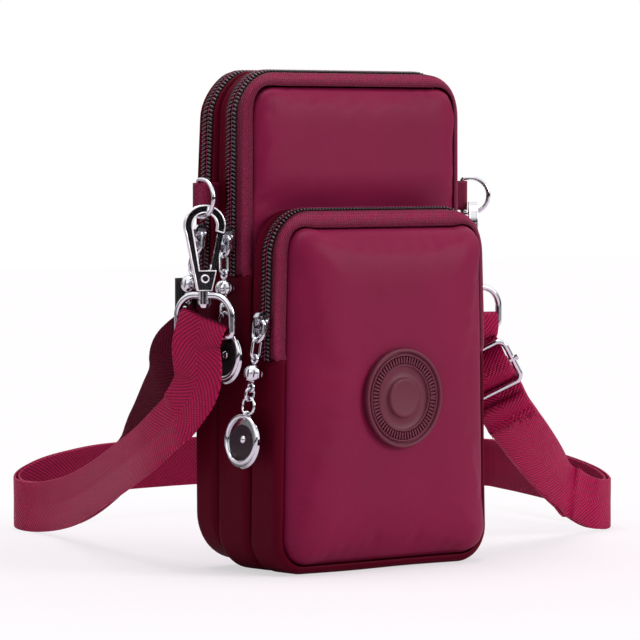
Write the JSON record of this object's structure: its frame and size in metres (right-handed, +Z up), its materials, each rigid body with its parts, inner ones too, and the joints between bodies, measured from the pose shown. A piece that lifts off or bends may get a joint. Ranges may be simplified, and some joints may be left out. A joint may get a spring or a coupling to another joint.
{
  "type": "phone pouch",
  "caption": "Upright phone pouch with two zipped compartments, a padded zipped front pocket, charm zip pullers, side rings with swivel hooks and a doubled webbing strap.",
  "frame": {"origin": "on the floor below the middle of the body, midway between its back and its front seam", "axes": "+Z up, -Y out of the front, +X to the right as seen from the front"},
  "size_m": [0.2743, 0.2454, 0.182],
  "materials": {
    "body_fabric": "smooth padded nylon",
    "zip_tape": "ribbed tape",
    "zip_coil": "moulded coil",
    "lining": "thin lining",
    "webbing": "herringbone webbing",
    "elastic": "ribbed elastic",
    "badge_rubber": "matt moulded rubber",
    "bright_metal": "polished plating"
  },
  "bodies": {
    "pouch": {"back_panel": "body_fabric", "rear_gusset": "body_fabric", "rear_zip_tapes": "zip_tape", "rear_zip_coil": "zip_coil", "rear_lining": "lining", "compartment_divider": "body_fabric", "middle_gusset": "body_fabric", "middle_zip_tapes": "zip_tape", "middle_zip_coil": "zip_coil", "middle_lining": "lining", "main_front_panel": "body_fabric", "pocket_gusset": "body_fabric", "pocket_zip_tapes": "zip_tape", "pocket_zip_coil": "zip_coil", "pocket_lining": "lining", "pocket_front_panel": "body_fabric", "badge": "badge_rubber", "left_tab": "zip_tape", "right_tab": "zip_tape", "arm_band": "elastic", "shoulder_strap": "webbing", "strap_adjuster": "bright_metal", "left_strap_eye": "bright_metal", "right_strap_eye": "bright_metal"},
    "rear slider": {"rear_slider": "bright_metal"},
    "rear bail": {"rear_bail": "bright_metal"},
    "rear link": {"rear_link": "bright_metal", "rear_bead_pin": "bright_metal"},
    "rear bead": {"rear_bead": "bright_metal"},
    "rear short link": {"rear_short_link": "bright_metal"},
    "rear charm ring": {"rear_charm_ring": "bright_metal"},
    "rear charm": {"rear_charm": "bright_metal"},
    "middle slider": {"middle_slider": "bright_metal"},
    "middle bail": {"middle_bail": "bright_metal"},
    "middle link": {"middle_link": "bright_metal", "middle_bead_pin": "bright_metal"},
    "middle bead": {"middle_bead": "bright_metal"},
    "middle short link": {"middle_short_link": "bright_metal"},
    "middle charm ring": {"middle_charm_ring": "bright_metal"},
    "middle charm": {"middle_charm": "bright_metal"},
    "pocket slider": {"pocket_slider": "bright_metal"},
    "pocket bail": {"pocket_bail": "bright_metal"},
    "pocket link": {"pocket_link": "bright_metal", "pocket_bead_pin": "bright_metal"},
    "pocket bead": {"pocket_bead": "bright_metal"},
    "pocket short link": {"pocket_short_link": "bright_metal"},
    "pocket charm ring": {"pocket_charm_ring": "bright_metal"},
    "pocket charm": {"pocket_charm": "bright_metal"},
    "left ring": {"left_ring": "bright_metal"},
    "left hook": {"left_hook": "bright_metal", "left_swivel_pin": "bright_metal", "left_gate_rivet": "bright_metal", "left_gate_spring": "bright_metal"},
    "left gate": {"left_hook_gate": "bright_metal"},
    "right ring": {"right_ring": "bright_metal"},
    "right hook": {"right_hook": "bright_metal", "right_swivel_pin": "bright_metal", "right_gate_rivet": "bright_metal", "right_gate_spring": "bright_metal"},
    "right gate": {"right_hook_gate": "bright_metal"}
  },
  "joints": [
    {"name": "rear zip slide", "type": "slide", "parent": "pouch", "child": "rear slider", "axis": [0, 0, 1], "range_m": [-0.007, 0.034]},
    {"name": "rear bail swing", "type": "hinge", "parent": "rear slider", "child": "rear bail", "pos_m": [-0.0547, 0.0169, 0.1227], "axis": [0, 1, 0], "range_deg": [0, 2]},
    {"name": "rear link swing", "type": "hinge", "parent": "rear bail", "child": "rear link", "pos_m": [-0.05516, 0.0169, 0.11837], "axis": [0.9945, 0, -0.1045], "range_deg": [-4, 4]},
    {"name": "rear bead spin", "type": "hinge", "parent": "rear link", "child": "rear bead", "pos_m": [-0.05664, 0.01916, 0.1042], "axis": [0.1032, -0.1564, 0.9823], "continuous": true},
    {"name": "rear short link swing", "type": "hinge", "parent": "rear link", "child": "rear short link", "pos_m": [-0.05717, 0.01996, 0.09917], "axis": [0.9945, 0, -0.1045], "range_deg": [-4, 4]},
    {"name": "rear ring swing", "type": "hinge", "parent": "rear short link", "child": "rear charm ring", "pos_m": [-0.05749, 0.02043, 0.09617], "axis": [0.0164, 0.9877, 0.1556], "range_deg": [0, 4]},
    {"name": "rear charm swing", "type": "hinge", "parent": "rear charm ring", "child": "rear charm", "pos_m": [-0.05788, 0.02102, 0.09249], "axis": [0.9945, 0, -0.1045], "range_deg": [-5, 5]},
    {"name": "middle zip slide", "type": "slide", "parent": "pouch", "child": "middle slider", "axis": [0, 0, 1], "range_m": [-0.007, 0.0025]},
    {"name": "middle bail swing", "type": "hinge", "parent": "middle slider", "child": "middle bail", "pos_m": [-0.0547, 0.0015, 0.1217], "axis": [0, 1, 0], "range_deg": [-0.5, 0.3]},
    {"name": "middle link swing", "type": "hinge", "parent": "middle bail", "child": "middle link", "pos_m": [-0.055, 0.0015, 0.11736], "axis": [0.9976, 0, -0.0698], "range_deg": [-1.5, 3]},
    {"name": "middle bead spin", "type": "hinge", "parent": "middle link", "child": "middle bead", "pos_m": [-0.056, -0.00013, 0.10306], "axis": [0.0693, 0.1132, 0.9912], "continuous": true},
    {"name": "middle short link swing", "type": "hinge", "parent": "middle link", "child": "middle short link", "pos_m": [-0.05636, -0.00071, 0.09798], "axis": [0.9976, 0, -0.0698], "range_deg": [-3, 3]},
    {"name": "middle ring swing", "type": "hinge", "parent": "middle short link", "child": "middle charm ring", "pos_m": [-0.05657, -0.00106, 0.09496], "axis": [-0.0079, 0.9936, -0.1129], "range_deg": [-2, 0]},
    {"name": "middle charm swing", "type": "hinge", "parent": "middle charm ring", "child": "middle charm", "pos_m": [-0.05683, -0.00148, 0.09124], "axis": [0.9976, 0, -0.0698], "range_deg": [-3, 3]},
    {"name": "pocket zip slide", "type": "slide", "parent": "pouch", "child": "pocket slider", "axis": [0, 0, 1], "range_m": [-0.007, 0.015]},
    {"name": "pocket bail swing", "type": "hinge", "parent": "pocket slider", "child": "pocket bail", "pos_m": [-0.05295, -0.0162, 0.0917], "axis": [0, 1, 0], "range_deg": [0, 45]},
    {"name": "pocket link swing", "type": "hinge", "parent": "pocket bail", "child": "pocket link", "pos_m": [-0.05341, -0.0162, 0.08737], "axis": [0.9945, 0, -0.1045], "range_deg": [-12, 5]},
    {"name": "pocket bead spin", "type": "hinge", "parent": "pocket link", "child": "pocket bead", "pos_m": [-0.05491, -0.01494, 0.07308], "axis": [0.1041, -0.0872, 0.9907], "continuous": true},
    {"name": "pocket short link swing", "type": "hinge", "parent": "pocket link", "child": "pocket short link", "pos_m": [-0.05544, -0.0145, 0.068], "axis": [0.9945, 0, -0.1045], "range_deg": [-12, 12]},
    {"name": "pocket ring swing", "type": "hinge", "parent": "pocket short link", "child": "pocket charm ring", "pos_m": [-0.05576, -0.01423, 0.06498], "axis": [0.0091, 0.9962, 0.0867], "range_deg": [0, 25]},
    {"name": "pocket charm swing", "type": "hinge", "parent": "pocket charm ring", "child": "pocket charm", "pos_m": [-0.05615, -0.0139, 0.06127], "axis": [0.9945, 0, -0.1045], "range_deg": [-15, 15]},
    {"name": "left ring turn", "type": "hinge", "parent": "pouch", "child": "left ring", "pos_m": [-0.0638, 0.00525, 0.1356], "axis": [0, 0, 1], "range_deg": [-3, 3]},
    {"name": "left hook swivel", "type": "hinge", "parent": "pouch", "child": "left hook", "pos_m": [-0.06416, 0.00117, 0.10255], "axis": [0, 0, 1], "range_deg": [-4, 7]},
    {"name": "left gate opening", "type": "hinge", "parent": "left hook", "child": "left gate", "pos_m": [-0.06416, 0.00117, 0.10675], "axis": [-0.5, -0.866, 0], "range_deg": [0, 20], "stiffness_Nm_per_rad": 0.004, "springref_deg": -20.05},
    {"name": "right ring turn", "type": "hinge", "parent": "pouch", "child": "right ring", "pos_m": [0.0638, 0.00525, 0.1356], "axis": [0, 0, 1], "range_deg": [-6, 6]},
    {"name": "right hook swivel", "type": "hinge", "parent": "pouch", "child": "right hook", "pos_m": [0.06694, 0.00262, 0.10255], "axis": [0, 0, 1], "range_deg": [-20, 20]},
    {"name": "right gate opening", "type": "hinge", "parent": "right hook", "child": "right gate", "pos_m": [0.06694, 0.00262, 0.10675], "axis": [0.766, -0.6428, 0], "range_deg": [0, 20], "stiffness_Nm_per_rad": 0.004, "springref_deg": -20.05}
  ]
}
